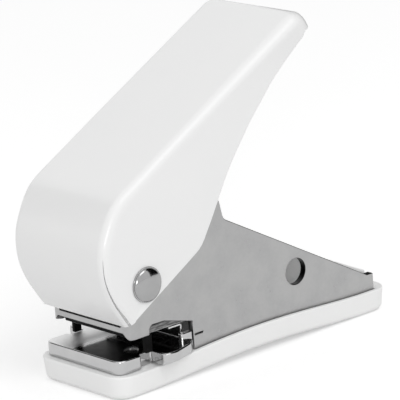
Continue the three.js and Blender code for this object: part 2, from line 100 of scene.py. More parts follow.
def skin(rings, first_cap=True, last_cap=True):
    """Quads between neighbouring closed rings of n points. A cap closes an end ring by strips, each
    from point i to point n - i."""
    count, n = rings.shape[:2]
    i = np.arange(n)
    j = (i + 1) % n
    row = (np.arange(count - 1) * n)[:, None]
    faces = [np.stack((row + i, row + j, row + n + j, row + n + i), -1).reshape(-1, 4)]
    k = np.arange(n // 2)
    strip = np.column_stack((k, k + 1, n - k - 1, (n - k) % n))
    strip[0] = strip[0][[0, 1, 2, 2]]
    strip[-1] = strip[-1][[0, 1, 3, 3]]
    if first_cap:
        faces.append(strip[:, ::-1])
    if last_cap:
        faces.append(strip + (count - 1) * n)
    return rings.reshape(-1, 3), np.vstack(faces)


def open_sides(faces):
    """Sides of these faces along which no other of them runs: their first and their last points."""
    sides = np.concatenate([faces[:, [k, (k + 1) % 4]] for k in range(4)])
    sides = sides[sides[:, 0] != sides[:, 1]]
    size = faces.max() + 1
    shared = np.isin(sides[:, 0] * size + sides[:, 1], sides[:, 1] * size + sides[:, 0])
    return sides[~shared].T


def sink(points, faces, chosen, depth):
    """The chosen faces move down by depth, and walls join them to the edge they leave."""
    pit = faces[chosen]
    used = np.unique(pit)
    lower = np.zeros(len(points), int)
    lower[used] = len(points) + np.arange(len(used))
    a, b = open_sides(pit)
    walls = np.column_stack((a, b, lower[b], lower[a]))
    points = np.vstack((points, points[used] - (0.0, 0.0, depth)))
    return points, np.vstack((faces[~chosen], lower[pit], walls))


def joined(parts):
    """The parts, each (points, faces), as one array of points and one of faces over them."""
    starts = np.cumsum([0] + [len(points) for points, _ in parts])
    points = np.vstack([points for points, _ in parts])
    return points, np.vstack([faces + start for (_, faces), start in zip(parts, starts)])


CREASE = 38.0


def piece(name, parts, body, node, finish):
    """Mesh object of the parts, each (points, faces), a triangle being a quad that repeats a point.
    It stands for a CAD node, rides on its body, and has face-weighted normals with edges over
    CREASE degrees sharp, so that flat faces stay flat beside round edges."""
    points, faces = joined(parts)
    kept = faces != np.roll(faces, 1, axis=1)
    whole = kept.sum(1) >= 3
    faces, kept = faces[whole], kept[whole]
    sizes = kept.sum(1)
    mesh = bpy.data.meshes.new(name)
    mesh.vertices.add(len(points))
    mesh.vertices.foreach_set("co", ((points - (ORIGIN_X, 0.0, 0.0)) / 1000.0).ravel())
    mesh.loops.add(int(sizes.sum()))
    mesh.loops.foreach_set("vertex_index", faces[kept])
    mesh.polygons.add(len(sizes))
    mesh.polygons.foreach_set("loop_start", np.cumsum(sizes) - sizes)
    mesh.update(calc_edges=True)
    mesh.validate()
    mesh.shade_smooth()
    mesh.set_sharp_from_angle(angle=np.radians(CREASE))
    mesh.materials.append(finish)
    made = bpy.data.objects.new(name, mesh)
    bpy.context.scene.collection.objects.link(made)
    weighted = made.modifiers.new("Flat faces stay flat", "WEIGHTED_NORMAL")
    weighted.keep_sharp = True
    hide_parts(node)
    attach(made, body)
    return made


class Shade:
    """An output of a material's nodes. Sums, products and the like of it are Math nodes."""

    def __init__(self, tree, socket):
        self.tree, self.socket = tree, socket

    def node(self, kind, settings, inputs, output=0):
        made = self.tree.nodes.new("ShaderNode" + kind)
        for key, value in settings.items():
            setattr(made, key, value)
        for key, value in inputs.items():
            if isinstance(value, Shade):
                self.tree.links.new(value.socket, made.inputs[key])
            else:
                made.inputs[key].default_value = value
        return Shade(self.tree, made.outputs[output])

    def math(self, operation, a, b):
        return self.node("Math", {"operation": operation}, {0: a, 1: b})

    def __add__(self, other):
        return self.math("ADD", self, other)

    def __radd__(self, other):
        return self.math("ADD", other, self)

    def __sub__(self, other):
        return self.math("SUBTRACT", self, other)

    def __rsub__(self, other):
        return self.math("SUBTRACT", other, self)

    def __mul__(self, other):
        return self.math("MULTIPLY", self, other)

    def __rmul__(self, other):
        return self.math("MULTIPLY", other, self)

    def __abs__(self):
        return self.math("ABSOLUTE", self, 0.0)


def noise(place, cells_per_metre, detail=3.0):
    """Soft noise from 0 to 1 with that many cells in a metre."""
    inputs = {"Vector": place, "Scale": cells_per_metre, "Detail": detail}
    return place.node("TexNoise", {}, inputs)


def tones(share, dark, light):
    """Colour from dark to light as the share goes from 0 to 1. Each is a grey, three numbers or a
    node's output."""
    ends = []
    for end in (dark, light):
        if isinstance(end, float):
            end = (end, end, end)
        ends.append(end if isinstance(end, Shade) else (*end, 1.0))
    return share.node("Mix", {"data_type": "RGBA"}, {0: share, 6: ends[0], 7: ends[1]}, output=2)


def relief(height, distance):
    """Normal of a surface raised by height times distance, in metres."""
    return height.node("Bump", {}, {"Strength": 1.0, "Distance": distance, "Height": height})


def finish_of(name, uniform, varying):
    """Principled material: uniform values stand on its own sockets, varying ones come from the
    object's coordinates."""
    material = bpy.data.materials.new(name)
    material.use_nodes = True
    tree = material.node_tree
    shader = tree.nodes["Principled BSDF"]
    for key, value in uniform.items():
        shader.inputs[key].default_value = value
    place = Shade(tree, tree.nodes.new("ShaderNodeTexCoord").outputs["Object"])
    for key, make in varying.items():
        tree.links.new(make(place).socket, shader.inputs[key])
    return material


tray_plastic = finish_of(
    "White satin plastic",
    {"IOR": 1.47},
    {
        "Base Color": lambda p: tones(
            noise(p, 90.0, 2.0), (0.91, 0.912, 0.91), (0.935, 0.935, 0.93)),
        "Roughness": lambda p: 0.36 + 0.08 * noise(p, 500.0),
        "Normal": lambda p: relief(noise(p, 2600.0, 2.0), 0.000006),
    },
)

# The outer wall and the pockets share these places along the length, so the rim joins them straight
beside_chips = np.linspace(7.4, 26.2, 22)
beside_step = np.linspace(26.6, 28.2, 11)
beside_rear = np.linspace(28.8, 93.8, 60)
STEP_IN_POCKET = np.array([
    (26.6, 12.4), (27.0, 12.42), (27.25, 12.5), (27.38, 12.65), (27.4, 13.2), (27.4, 14.3),
    (27.4, 15.4), (27.42, 15.9), (27.55, 16.08), (27.8, 16.18), (28.2, 16.2),
])


def wall_ring(inset, z):
    """The rounded rectangle of the outer wall, drawn in by inset, at height z over the bow."""
    side = TRAY_HALF_WIDTH - inset
    straight = TRAY_HALF_WIDTH - TRAY_CORNER
    r = TRAY_CORNER - inset
    rear = TRAY_LENGTH - inset
    x = np.concatenate((beside_chips, beside_step, beside_rear))
    plan = mirrored(np.vstack((
        line((inset, 0.0), (inset, -straight), 8),
        arc((TRAY_CORNER, -straight), r, 180, 270, 11),
        np.column_stack((x, np.full(len(x), -side))),
        arc((TRAY_LENGTH - TRAY_CORNER, -straight), r, 270, 360, 11),
        line((rear, 0.0), (rear, -straight), 8)[::-1],
    )))
    return np.column_stack((plan, z + bow(plan[:, 0])))


def pocket_ring(grow, z):
    """The narrow chip pocket and the wide pocket behind it as one outline, drawn out by grow, at
    height z over the bow."""
    front = POCKET_FRONT - grow
    rear = POCKET_REAR + grow
    chip_y = CHIP_CORNER - CHIP_SIDE
    wide_y = WIDE_CORNER - WIDE_SIDE
    plan = mirrored(np.vstack((
        line((front, 0.0), (front, chip_y), 8),
        arc((POCKET_FRONT + CHIP_CORNER, chip_y), CHIP_CORNER + grow, 180, 270, 11),
        np.column_stack((beside_chips, np.full(len(beside_chips), -CHIP_SIDE - grow))),
        STEP_IN_POCKET * (1, -1) - (grow, grow),
        np.column_stack((beside_rear, np.full(len(beside_rear), -WIDE_SIDE - grow))),
        arc((POCKET_REAR - WIDE_CORNER, wide_y), WIDE_CORNER + grow, 270, 360, 11),
        line((rear, 0.0), (rear, wide_y), 8)[::-1],
    )))
    return np.column_stack((plan, z + bow(plan[:, 0])))


bottom = [
    wall_ring(WALL_DRAFT + BOTTOM_ROUNDING[0] * u, BOTTOM_ROUNDING[1] * v)
    for u, v in rounding(1.0)[::-1]
]
upper = [wall_ring(u, TRAY_HEIGHT - v) for u, v in rounding(RIM_ROUNDING)]
lip = [pocket_ring(u, TRAY_HEIGHT - v) for u, v in rounding(LIP_ROUNDING)[::-1]]
foot = [pocket_ring(-u, TRAY_FLOOR + v) for u, v in rounding(FOOT_ROUNDING)]
# Two rings part the rim, and between them the release slot is sunk behind the frame
rim = [upper[-1] + (lip[0] - upper[-1]) * share for share in (0.346, 0.741)]
tray_points, tray_faces = skin(np.array(bottom + upper + rim + lip + foot))
middle = tray_points[tray_faces].mean(1)
on_rim = np.ptp(tray_points[tray_faces][:, :, 2], axis=1) < 0.02
on_rim &= middle[:, 2] > TRAY_HEIGHT - 0.1
in_slot = on_rim & (abs(middle[:, 0] - 97.4) < 0.9) & (abs(middle[:, 1]) < 5.2)
tray_points, tray_faces = sink(tray_points, tray_faces, in_slot, 2.3)

BLOCK_FRONT = 80.0
BLOCK_REAR = 94.6
BLOCK_SIDE = 13.5
BLOCK_CORNER = 0.9
BLOCK_WALL = 1.6


def block_ring(inset, drop=0.0, level=None):
    """Outline of the tail block drawn in by inset, at a level, or else at that drop below the
    block's top, which slopes straight from 18.4 at its front to 11.4 at its rear."""
    front = BLOCK_FRONT + inset
    rear = BLOCK_REAR - inset
    side = BLOCK_SIDE - inset
    r = max(BLOCK_CORNER - inset, 0.25)
    plan = mirrored(np.vstack((
        line((front, 0.0), (front, r - side), 8),
        arc((front + r, r - side), r, 180, 270, 6),
        line((front + r, -side), (rear - r, -side), 24)[1:],
        arc((rear - r, r - side), r, 270, 360, 6),
        line((rear, 0.0), (rear, r - side), 8)[::-1],
    )))
    top = np.interp(plan[:, 0], (BLOCK_FRONT, BLOCK_REAR), (18.4, 11.4))
    return np.column_stack((plan, top - drop if level is None else np.full(len(plan), level)))


block = [block_ring(0.0, level=1.3)]
block += [block_ring(u, v) for u, v in rounding(0.3)]
block += [block_ring(BLOCK_WALL, 0.1), block_ring(BLOCK_WALL, level=2.6)]
piece("tray_moulding", [(tray_points, tray_faces), skin(np.array(block))],
      "tray_body", "base_tray", tray_plastic)


# Sheet frame
# One 2 mm steel sheet, bent in plan round the nose, so that two tall cheeks stand on either side.
# Throat, pivot hole and sight hole are punched while it is flat, then it is nickel plated satin.

SHEET = 2.0
SHEET_EDGE = 0.22
FRAME_FRONT = 5.65
CHEEK = 15.9
BEND = 2.4
BEND_START = CHEEK - BEND
BEND_END = BEND_START + BEND * np.pi / 2
TO_PATTERN = BEND_END - FRAME_FRONT - BEND
PIVOT = np.array((10.6, 30.1))
PIVOT_HOLE = 3.1
SIGHT = np.array((65.7, 19.0))
SIGHT_HOLE = 3.66
BEHIND_PUNCH = 36.0


def circle(centre, radius, count=48):
    """Closed outline of a circle."""
    return arc(centre, radius, 0, 360, count + 1)[:-1]


def filleted(corners, closed=True):
    """Outline through corners (x, y, r), each turned by an arc of radius r touching both sides."""
    rows = []
    for k, (x, y, r) in enumerate(corners):
        here = np.array((x, y))
        if r == 0 or (not closed and k in (0, len(corners) - 1)):
            rows.append(here[None])
            continue
        back = np.array(corners[k - 1][:2]) - here
        ahead = np.array(corners[(k + 1) % len(corners)][:2]) - here
        shortest = min(np.hypot(*back), np.hypot(*ahead))
        back /= np.hypot(*back)
        ahead /= np.hypot(*ahead)
        half = np.arccos(np.clip(back @ ahead, -1.0, 1.0)) / 2
        reach = min(r / np.tan(half), 0.49 * shortest)
        across = (back + ahead) / np.hypot(*(back + ahead))
        centre = here + across * reach / np.cos(half)
        first = here + back * reach - centre
        last = here + ahead * reach - centre
        start = np.degrees(np.arctan2(first[1], first[0]))
        sweep = np.degrees(np.arctan2(first[0] * last[1] - first[1] * last[0], first @ last))
        count = max(4, int(abs(sweep) / 9))
        rows.append(arc(centre, np.hypot(*first), start, start + sweep, count))
    return np.vstack(rows)


def rectangle(x0, x1, y0, y1, r):
    """Outline of a rectangle between these limits, its corners rounded by r."""
    return filleted([(x0, y0, r), (x1, y0, r), (x1, y1, r), (x0, y1, r)])


def divided(loop, step):
    """The closed outline with points added, so that none lie further apart than step."""
    ends = np.roll(loop, -1, axis=0)
    counts = np.maximum(1, np.ceil(np.linalg.norm(ends - loop, axis=1) / step)).astype(int)
    return np.vstack([line(a, b, c) for a, b, c in zip(loop, ends, counts)])


def fill(loops, inner=()):
    """Triangles inside the first closed outline and outside the others, with the inner points kept.
    A triangle is inside where a ray from its middle along x crosses the outlines an odd number of
    times. That is tested on the rounded coordinates which the triangulation gets, or else slivers
    along straight edges would be lost."""
    points = np.vstack([*loops, *([inner] if len(inner) else [])])
    rounded = points.astype(np.float32).astype(float)
    starts = np.cumsum([0] + [len(loop) for loop in loops])
    rounds = [start + np.arange(len(loop)) for start, loop in zip(starts, loops)]
    edges = np.vstack([np.column_stack((r, np.roll(r, -1))) for r in rounds])
    made = geometry.delaunay_2d_cdt([Vector(p) for p in points], edges.tolist(), [], 0, 1e-5)
    source = np.array([ids[0] for ids in made[3]])
    faces = source[np.array(made[2])]
    a, b = rounded[edges].transpose(1, 0, 2)
    x, y = rounded[faces].mean(1).T[..., None]
    spans = (a[:, 1] > y) != (b[:, 1] > y)
    rise = np.where(a[:, 1] == b[:, 1], 1.0, b[:, 1] - a[:, 1])
    crossing = a[:, 0] + (y - a[:, 1]) * (b[:, 0] - a[:, 0]) / rise
    faces = faces[(spans & (x < crossing)).sum(1) % 2 == 1]
    a, b, c = rounded[faces].transpose(1, 0, 2)
    ab, ac = b - a, c - a
    turned = ab[:, 0] * ac[:, 1] < ab[:, 1] * ac[:, 0]
    faces[turned] = faces[turned][:, ::-1]
    return points, faces[:, [0, 1, 2, 2]]


def thicken(points, normals, faces, thickness, edge):
    """Closed body between an open sheet and its copy at thickness along minus the normals. Rings
    between the two round both edges: each lies a rounding's inset inside the outline and its drop
    below the nearer face."""
    n = len(points)
    a, b = open_sides(faces)
    inward = np.cross(normals[a] + normals[b], points[b] - points[a])
    inward /= np.linalg.norm(inward, axis=1)[:, None]
    pull = np.zeros((n, 3))
    np.add.at(pull, a, inward)
    np.add.at(pull, b, inward)
    pull /= np.maximum(np.linalg.norm(pull, axis=1), 1e-9)[:, None]
    reach = np.zeros(n)
    np.add.at(reach, a, (inward * pull[a]).sum(1) / 2)
    np.add.at(reach, b, (inward * pull[b]).sum(1) / 2)
    pull /= np.clip(reach, 0.6, 1.0)[:, None]
    rim = np.unique(a)
    inset, drop = rounding(edge, 4)[::-1].T
    inside = np.concatenate((inset, inset[::-1]))[:, None, None]
    depth = np.concatenate((drop, thickness - drop[::-1]))[:, None, None]
    rings = points[rim] + pull[rim] * inside - normals[rim] * depth
    outer = points.copy()
    outer[rim] = rings[0]
    inner = points - normals * thickness
    inner[rim] = rings[-1]
    place = np.zeros(n, int)
    place[rim] = np.arange(len(rim))
    between = 2 * n + np.arange((len(rings) - 2) * len(rim)).reshape(-1, len(rim))
    index = np.vstack((rim, between, n + rim))
    low, high = index[:-1], index[1:]
    walls = np.stack((low[:, place[b]], low[:, place[a]], high[:, place[a]], high[:, place[b]]), -1)
    return (np.vstack((outer, inner, rings[1:-1].reshape(-1, 3))),
            np.vstack((faces, faces[:, ::-1] + n, walls.reshape(-1, 4))))


def bend(pattern):
    """The flat sheet (s, depth, z) brought round the nose: s runs from the middle of the front
    wall, straight to BEND_START, then on an arc of radius BEND - depth, then straight back along a
    cheek; near side for s > 0."""
    s, depth, z = pattern.T
    angle = np.clip((abs(s) - BEND_START) / BEND, 0.0, np.pi / 2)
    back = np.maximum(abs(s) - BEND_END, 0.0)
    x = FRAME_FRONT + BEND - (BEND - depth) * np.cos(angle) + back
    y = np.minimum(abs(s), BEND_START) + (BEND - depth) * np.sin(angle)
    return np.column_stack((x, -np.sign(s) * y, z))


# Half of the flat sheet, s over z, from the front wall's lower edge round the cheek to its upper
under_wall = [(0.0, 16.9, 0), (13.4, 16.9, 0.5), (15.0, 15.2, 1.6)]
cheek_by_x = [
    (12.6, 15.2, 0.25), (12.75, 17.85, 3.0), (17.9, 17.75, 4.0), (27.7, 15.1, 0.3),
    (27.7, 3.3, 0.4), (95.0, 3.3, 0.4), (95.0, 11.1, 0.35), (92.6, 11.1, 0.5),
    (40.9, 39.95, 2.2), (39.6, 46.0, 1.8), (17.5, 47.2, 3.0), (12.9, 46.4, 2.0),
]
over_wall = [
    (BEND_END, 38.3, 0), (BEND_START, 34.5, 0), (12.6, 34.0, 0.5), (12.6, 18.5, 0.3),
    (0.0, 18.5, 0),
]
cheek_by_s = [(x + TO_PATTERN, z, r) for x, z, r in cheek_by_x]
half_sheet = filleted([*under_wall, *cheek_by_s, *over_wall], closed=False)
sheet_loops = [divided(np.vstack((half_sheet, half_sheet[-2:0:-1] * (-1, 1))), 1.2)]
slot_in_cheek = rectangle(28.1, 31.2, 11.02, 11.42, 0.15)
cheek_holes = (circle(PIVOT, PIVOT_HOLE), circle(SIGHT, SIGHT_HOLE, 64), slot_in_cheek)
for side in (1, -1):
    sheet_loops += [(hole + (TO_PATTERN, 0.0)) * (side, 1) for hole in cheek_holes]
# Upright rows of points in the bend, off its rim and off the pivot hole, let it turn smoothly
columns, heights = np.meshgrid(np.linspace(BEND_START, BEND_END, 9), np.arange(17.6, 38.0, 1.0))
rows = np.column_stack((columns.ravel(), heights.ravel()))
off_hole = np.hypot(*(rows - PIVOT - (TO_PATTERN, 0.0)).T) > PIVOT_HOLE + 0.6
rows = rows[(rows[:, 1] < 33.8 + (rows[:, 0] - BEND_START)) & off_hole]
flat_points, flat_faces = fill(sheet_loops, np.vstack((rows, rows * (-1, 1))))
flat_points = np.insert(flat_points, 1, 0.0, axis=1)
outward = np.tile((0.0, -1.0, 0.0), (len(flat_points), 1))
sheet_points, sheet_faces = thicken(flat_points, outward, flat_faces, SHEET, SHEET_EDGE)


def ramp(value, start, end):
    """0 where the value is start, 1 where it is end, and straight between them."""
    inputs = {"Value": value, "From Min": start, "From Max": end}
    return value.node("MapRange", {"clamp": True}, inputs)


def coordinate(place, axis):
    """The place's x, y or z in millimetres, with x from the front of the tray."""
    value = 1000.0 * place.node("SeparateXYZ", {}, {"Vector": place}, output="xyz".index(axis))
    return value + ORIGIN_X if axis == "x" else value


def off_outer(place):
    """How far below the sheet's outer face a place is. In plan the outer face lies BEND away from
    the line that the bend turns about, and from the straight lines which lead from it."""
    across = place.math("MAXIMUM", abs(coordinate(place, "y")) - BEND_START, 0.0)
    ahead = place.math("MAXIMUM", FRAME_FRONT + BEND - coordinate(place, "x"), 0.0)
    return BEND - place.math("SQRT", across * across + ahead * ahead, 0.0)


def inner_face(place):
    """1 on the sheet's inner face, which took less plating, and 0 elsewhere."""
    return ramp(off_outer(place), SHEET - 0.12, SHEET - 0.02)


def painted_dark_edge(place):
    """1 on the cut edges of the cheeks' slope, rear and sight hole, where a painted dark reflection
    lies.
    """
    depth = off_outer(place)
    cut = ramp(depth, 0.01, 0.06) * ramp(depth, SHEET - 0.02, SHEET - 0.12)
    return cut * ramp(coordinate(place, "x"), BEHIND_PUNCH, BEHIND_PUNCH + 2.0)


def painted_bright_inside(place):
    """1 on the inside of the cheeks behind the punch, which is painted brighter: painted light that
    lightens the view through the sight hole.
    """
    return inner_face(place) * ramp(coordinate(place, "x"), BEHIND_PUNCH, BEHIND_PUNCH + 8.0)


def clouds(place):
    """Soft blotches some millimetres wide with finer grain in them, from 0 to 1."""
    blotches = ramp(noise(place, 170.0, 2.0), 0.35, 0.65)
    return 0.7 * blotches + 0.3 * ramp(noise(place, 1300.0, 4.0), 0.3, 0.7)


frame_plate = finish_of(
    "Satin nickel plate",
    {"Metallic": 1.0},
    {
        "Base Color": lambda p: tones(
            # Painted dark reflection: the cut edges are near black
            painted_dark_edge(p),
            # Painted light: the inside of the cheeks behind the punch is lighter
            tones(painted_bright_inside(p), tones(clouds(p), (0.39, 0.39, 0.392), (0.45, 0.45, 0.448)), 0.7),
            0.02),
        "Roughness": lambda p: 0.27 + 0.1 * clouds(p) + 0.15 * inner_face(p),
        "Normal": lambda p: relief(noise(p, 1500.0, 3.0), 0.000008),
    },
)
piece("frame_sheet", [(bend(sheet_points), sheet_faces)],
      "frame_body", "frame", frame_plate)


# Lower jaw
# A formed and chromed steel plate over the tray's front, with a turned-down rim, side notches,
# rounded wings, two ears and a tongue between the cheeks. The polished top mirrors the guide.

JAW_TOP = 10.4
JAW_SHEET = 1.6
JAW_RIM = 0.9
JAW_EDGE = 0.5
TONGUE_START = 27.2
PUNCH_X = 19.0
PUNCH_HOLE = 1.83


def inset_by(loop, distance):
    """The closed outline moved in by distance, each point along the mean normal of its sides."""
    back = loop - np.roll(loop, 1, axis=0)
    ahead = np.roll(loop, -1, axis=0) - loop
    back /= np.linalg.norm(back, axis=1)[:, None]
    ahead /= np.linalg.norm(ahead, axis=1)[:, None]
    normal = np.column_stack((-back[:, 1] - ahead[:, 1], back[:, 0] + ahead[:, 0]))
    length = np.maximum(np.linalg.norm(normal, axis=1), 1.2)
    return loop + normal * (2 * distance / length ** 2)[:, None]


def slab(outline, holes, face, thickness, edge, up=False):
    """Flat plate with rounded edges: its outline is (x, z) and its face at y = face, going to
    larger y, or with up its outline is (x, y) and its face at z = face, going down."""
    points, faces = fill([outline, *holes])
    points = np.insert(points, 2 if up else 1, face, axis=1)
    normals = np.tile((0.0, 0.0, 1.0) if up else (0.0, -1.0, 0.0), (len(points), 1))
    return thicken(points, normals, faces, thickness, edge)


def weld(parts):
    """The parts as one surface, in which points that coincide to 0.1 micrometre are one, and the
    places of the points that are kept."""
    points, faces = joined(parts)
    rounded = np.round(points, 4)
    _, kept, same = np.unique(rounded, axis=0, return_index=True, return_inverse=True)
    return (points[kept], same.reshape(-1)[faces]), kept


jaw_outline = divided(mirrored(filleted([
    (1.9, 0.0, 0), (1.9, -15.4, 2.7), (9.75, -15.4, 1.1), (9.95, -13.7, 0.8), (14.2, -13.75, 0.5),
    (13.9, -20.35, 1.9), (18.0, -20.4, 4.0), (24.7, -18.3, 8.0), (27.3, -16.0, 1.6),
    (TONGUE_START, -13.3, 0.3), (46.0, -13.3, 1.3), (46.0, 0.0, 0),
], closed=False)), 0.8)
# Height of the rim's lower edge: the front rim and the notch, the wing, then the tongue's flange
foot_z = np.interp(
    jaw_outline[:, 0],
    (1.9, 13.9, 14.3, 27.0, 28.0, 45.2, 45.6, 46.0),
    (6.65, 6.65, 7.6, 7.6, 5.4, 5.4, 8.7, 8.7))


def jaw_ring(inset, z):
    """The jaw's outline drawn in by inset, at height z."""
    return np.column_stack((inset_by(jaw_outline, inset), np.broadcast_to(z, len(jaw_outline))))


jaw_rings = [jaw_ring(JAW_RIM, JAW_TOP - JAW_SHEET)]
jaw_rings += [jaw_ring(JAW_RIM - u, foot_z + v) for u, v in rounding(0.1, 4)]
jaw_rings += [jaw_ring(u, foot_z + v) for u, v in rounding(0.2, 4)[::-1]]
jaw_rings += [jaw_ring(u, JAW_TOP - v) for u, v in rounding(JAW_EDGE)]
punch_hole = circle((PUNCH_X, 0.0), PUNCH_HOLE)
top_plan, top_faces = fill([jaw_rings[-1][:, :2], punch_hole])
under_plan, under_faces = fill([jaw_rings[0][:, :2], punch_hole])
hole_rings = [np.insert(punch_hole, 2, z, axis=1) for z in (JAW_TOP, JAW_TOP - JAW_SHEET)]
jaw_body, _ = weld([
    skin(np.array(jaw_rings), False, False),
    (np.insert(top_plan, 2, JAW_TOP, axis=1), top_faces),
    (np.insert(under_plan, 2, JAW_TOP - JAW_SHEET, axis=1), under_faces[:, ::-1]),
    skin(np.array(hole_rings), False, False),
])
ears = [
    slab(rectangle(23.6, 27.3, y0, y0 + 1.6, 0.4), [], 12.5, 3.0, 0.3, up=True)
    for y0 in (-15.8, 14.2)
]


def on_top(place):
    """1 on the jaw's flat top and 0 on its rim and ears."""
    over = coordinate(place, "z") - JAW_TOP
    return ramp(over, -0.06, -0.01) * ramp(over, 0.08, 0.03)


def worn(place):
    """0 on the near half of the jaw's top, rising to 1 toward its far side, where use dulled it."""
    return on_top(place) * ramp(coordinate(place, "y"), 2.0, 6.5)


def on_tongue(place):
    """1 on the tongue between the cheeks, else 0. Its colour there is painted shade."""
    return ramp(coordinate(place, "x"), TONGUE_START, TONGUE_START + 1.2)


def jaw_colour(place):
    """Chrome, its top painted lighter than its rim, and its tongue painted dark as painted shade
    between the cheeks.
    """
    # Painted light: the top is lighter than the rim of the same chrome
    rim = tones(noise(place, 260.0), (0.47, 0.47, 0.474), (0.54, 0.54, 0.54))
    # Painted shade: the tongue between the cheeks is near black
    return tones(on_tongue(place), tones(on_top(place), rim, 0.86), 0.12)


def jaw_roughness(place):
    """Nearly a mirror, duller where it is worn and on the tongue."""
    return 0.07 + 0.05 * noise(place, 700.0, 4.0) + 0.42 * worn(place) + 0.25 * on_tongue(place)


jaw_polished = finish_of(
    "Polished chrome",
    {"Metallic": 1.0},
    {
        "Base Color": jaw_colour,
        "Roughness": jaw_roughness,
        "Normal": lambda p: relief(noise(p, 240.0, 2.0), 0.000016),
    },
)
piece("lower_jaw", [jaw_body, *ears], "frame_body", "die_plate", jaw_polished)


# Upper jaw
# A blackened steel block fixed under the nose, with the hole the punch slides in and a finger at
# each side into the lower jaw's notch. A thin strip bent under the block stops the flight's edge.

GUIDE_FRONT = 8.2
GUIDE_REAR = 27.2
GUIDE_SIDE = 13.6
GUIDE_TOP = 16.9
GUIDE_BOTTOM = 14.65
FINGER_FRONT = 11.5
FINGER_REAR = 14.0
FINGER_BOTTOM = 10.2
FINGER_TOP = 15.1
FINGER_SIDE = 15.0
FINGER_SHEET = 1.0
STRIP_SIDE = 13.5


def stretched(place, along):
    """The coordinates squeezed by three factors, which draws a pattern out along the small ones."""
    return place.node("Mapping", {"vector_type": "POINT"}, {"Vector": place, "Scale": along})


def rubbed(place):
    """1 on the block's two sides, where the blackening is rubbed off, 0 on its front and underside
    and on the fingers."""
    upright = ramp(coordinate(place, "z"), GUIDE_BOTTOM + 0.03, GUIDE_BOTTOM + 0.15)
    behind_front = ramp(coordinate(place, "x"), GUIDE_FRONT + 0.1, GUIDE_FRONT + 0.5)
    inside_fingers = ramp(abs(coordinate(place, "y")), GUIDE_SIDE + 0.25, GUIDE_SIDE + 0.15)
    return upright * behind_front * inside_fingers


def scratches_and_edge_highlight(place):
    """Fine marks along the block, from 0 to 0.3, and 1 along its lower edge, a painted highlight.
    """
    # Painted highlight along the block's lower edge
    edge = ramp(coordinate(place, "z"), GUIDE_BOTTOM + 0.42, GUIDE_BOTTOM + 0.3)
    marks = ramp(noise(stretched(place, (0.15, 1.0, 1.0)), 2600.0, 4.0), 0.42, 0.72)
    return place.math("MAXIMUM", edge, 0.3 * marks)


guide_black = finish_of(
    "Blackened steel",
    {"Specular IOR Level": 0.06},
    {
        "Base Color": lambda p: tones(rubbed(p), 0.005, tones(scratches_and_edge_highlight(p), 0.1, 0.8)),
        "Metallic": lambda p: 0.95 * rubbed(p),
        "Roughness": lambda p: 0.26 + 0.14 * noise(p, 1100.0, 4.0),
        "Normal": lambda p: relief(noise(p, 1800.0, 3.0), 0.00001),
    },
)
guide_outline = rectangle(GUIDE_FRONT, GUIDE_REAR, -GUIDE_SIDE, GUIDE_SIDE, 0.3)
lug = rectangle(FINGER_FRONT, FINGER_REAR, GUIDE_BOTTOM, FINGER_TOP, 0.1)
finger = filleted([
    (FINGER_FRONT, FINGER_TOP, 0.1), (FINGER_FRONT, FINGER_BOTTOM, 0.5),
    (FINGER_REAR, FINGER_BOTTOM, 0.2), (FINGER_REAR, FINGER_TOP, 0.1),
])
piece("guide_block", [
    slab(guide_outline, [punch_hole], GUIDE_TOP, GUIDE_TOP - GUIDE_BOTTOM, 0.4, up=True),
    *(slab(finger, [], y, FINGER_SHEET, 0.15) for y in (-FINGER_SIDE, FINGER_SIDE - FINGER_SHEET)),
    *(slab(lug, [], y, 1.5, 0.05) for y in (-14.5, 13.0)),
], "frame_body", "guide_plate", guide_black)

strip_outline = filleted([
    (21.3, 14.6, 0.1), (21.3, 14.0, 0.1), (25.3, 14.0, 0.35), (25.3, 10.6, 0.1), (25.9, 10.6, 0.1),
    (25.9, 14.6, 0.9),
])
strip_steel = finish_of(
    "Dark strip steel with painted end highlights",
    {"Metallic": 1.0},
    {
        # Dark strip, with a painted highlight on its two ends
        "Base Color": lambda p: tones(
            ramp(abs(coordinate(p, "y")), STRIP_SIDE - 0.4, STRIP_SIDE - 0.2), 0.03, 0.62),
        "Roughness": lambda p: 0.16 + 0.1 * noise(p, 900.0),
        "Normal": lambda p: relief(noise(p, 300.0, 2.0), 0.00001),
    },
)
piece("stop_strip", [slab(strip_outline, [], -STRIP_SIDE, 2 * STRIP_SIDE, 0.12)],
      "frame_body", "flight_stop", strip_steel)


# Punch
# A turned steel rod with a pressed cap on top, which the lever's nose pushes, and an open clip ring
# in a groove. The plain washer under the spring rests on the guide.

ROD = 1.75
GROOVE = 1.45
GROOVE_LOW = 26.8
GROOVE_HIGH = 27.5
ROD_TOP = 30.2


def lathe(profile, centre, axis="z", count=72):
    """Turned form: the profile's (r, h) at angle a is centre + r (cos a, sin a) across the axis
    and h along it."""
    r, h = np.array(profile, float).T[..., None]
    a = np.linspace(0.0, 2 * np.pi, count, endpoint=False)
    rings = np.stack((r * np.cos(a), r * np.sin(a), h + 0 * a), -1)
    if axis == "y":
        rings = rings[..., [0, 2, 1]] * (1, 1, -1)
    form, _ = weld([skin(rings + centre, False, False)])
    return form


def swept(sections):
    """Solid through closed sections of n points each, with a fan from its middle over each end."""
    points, faces = skin(sections, False, False)
    count, n = sections.shape[:2]
    i = np.arange(n)
    j = np.roll(i, -1)
    k = (count - 1) * n
    middle = np.full(n, len(points))
    first = np.column_stack((j, i, middle, middle))
    last = np.column_stack((i + k, j + k, middle + 1, middle + 1))
    points = np.vstack((points, sections[0].mean(0), sections[-1].mean(0)))
    return points, np.vstack((faces, first, last))


def turned_steel(name, dark, light, rough):
    """Plain steel with the fine rings that a lathe leaves, drawn out round the piece."""
    return finish_of(name, {"Metallic": 1.0}, {
        "Base Color": lambda p: tones(noise(p, 300.0, 4.0), dark, light),
        "Roughness": lambda p: rough + 0.12 * noise(stretched(p, (0.15, 0.15, 1.0)), 4000.0, 2.0),
        "Normal": lambda p: relief(noise(stretched(p, (0.05, 0.05, 1.0)), 6000.0, 2.0), 0.000006),
    })


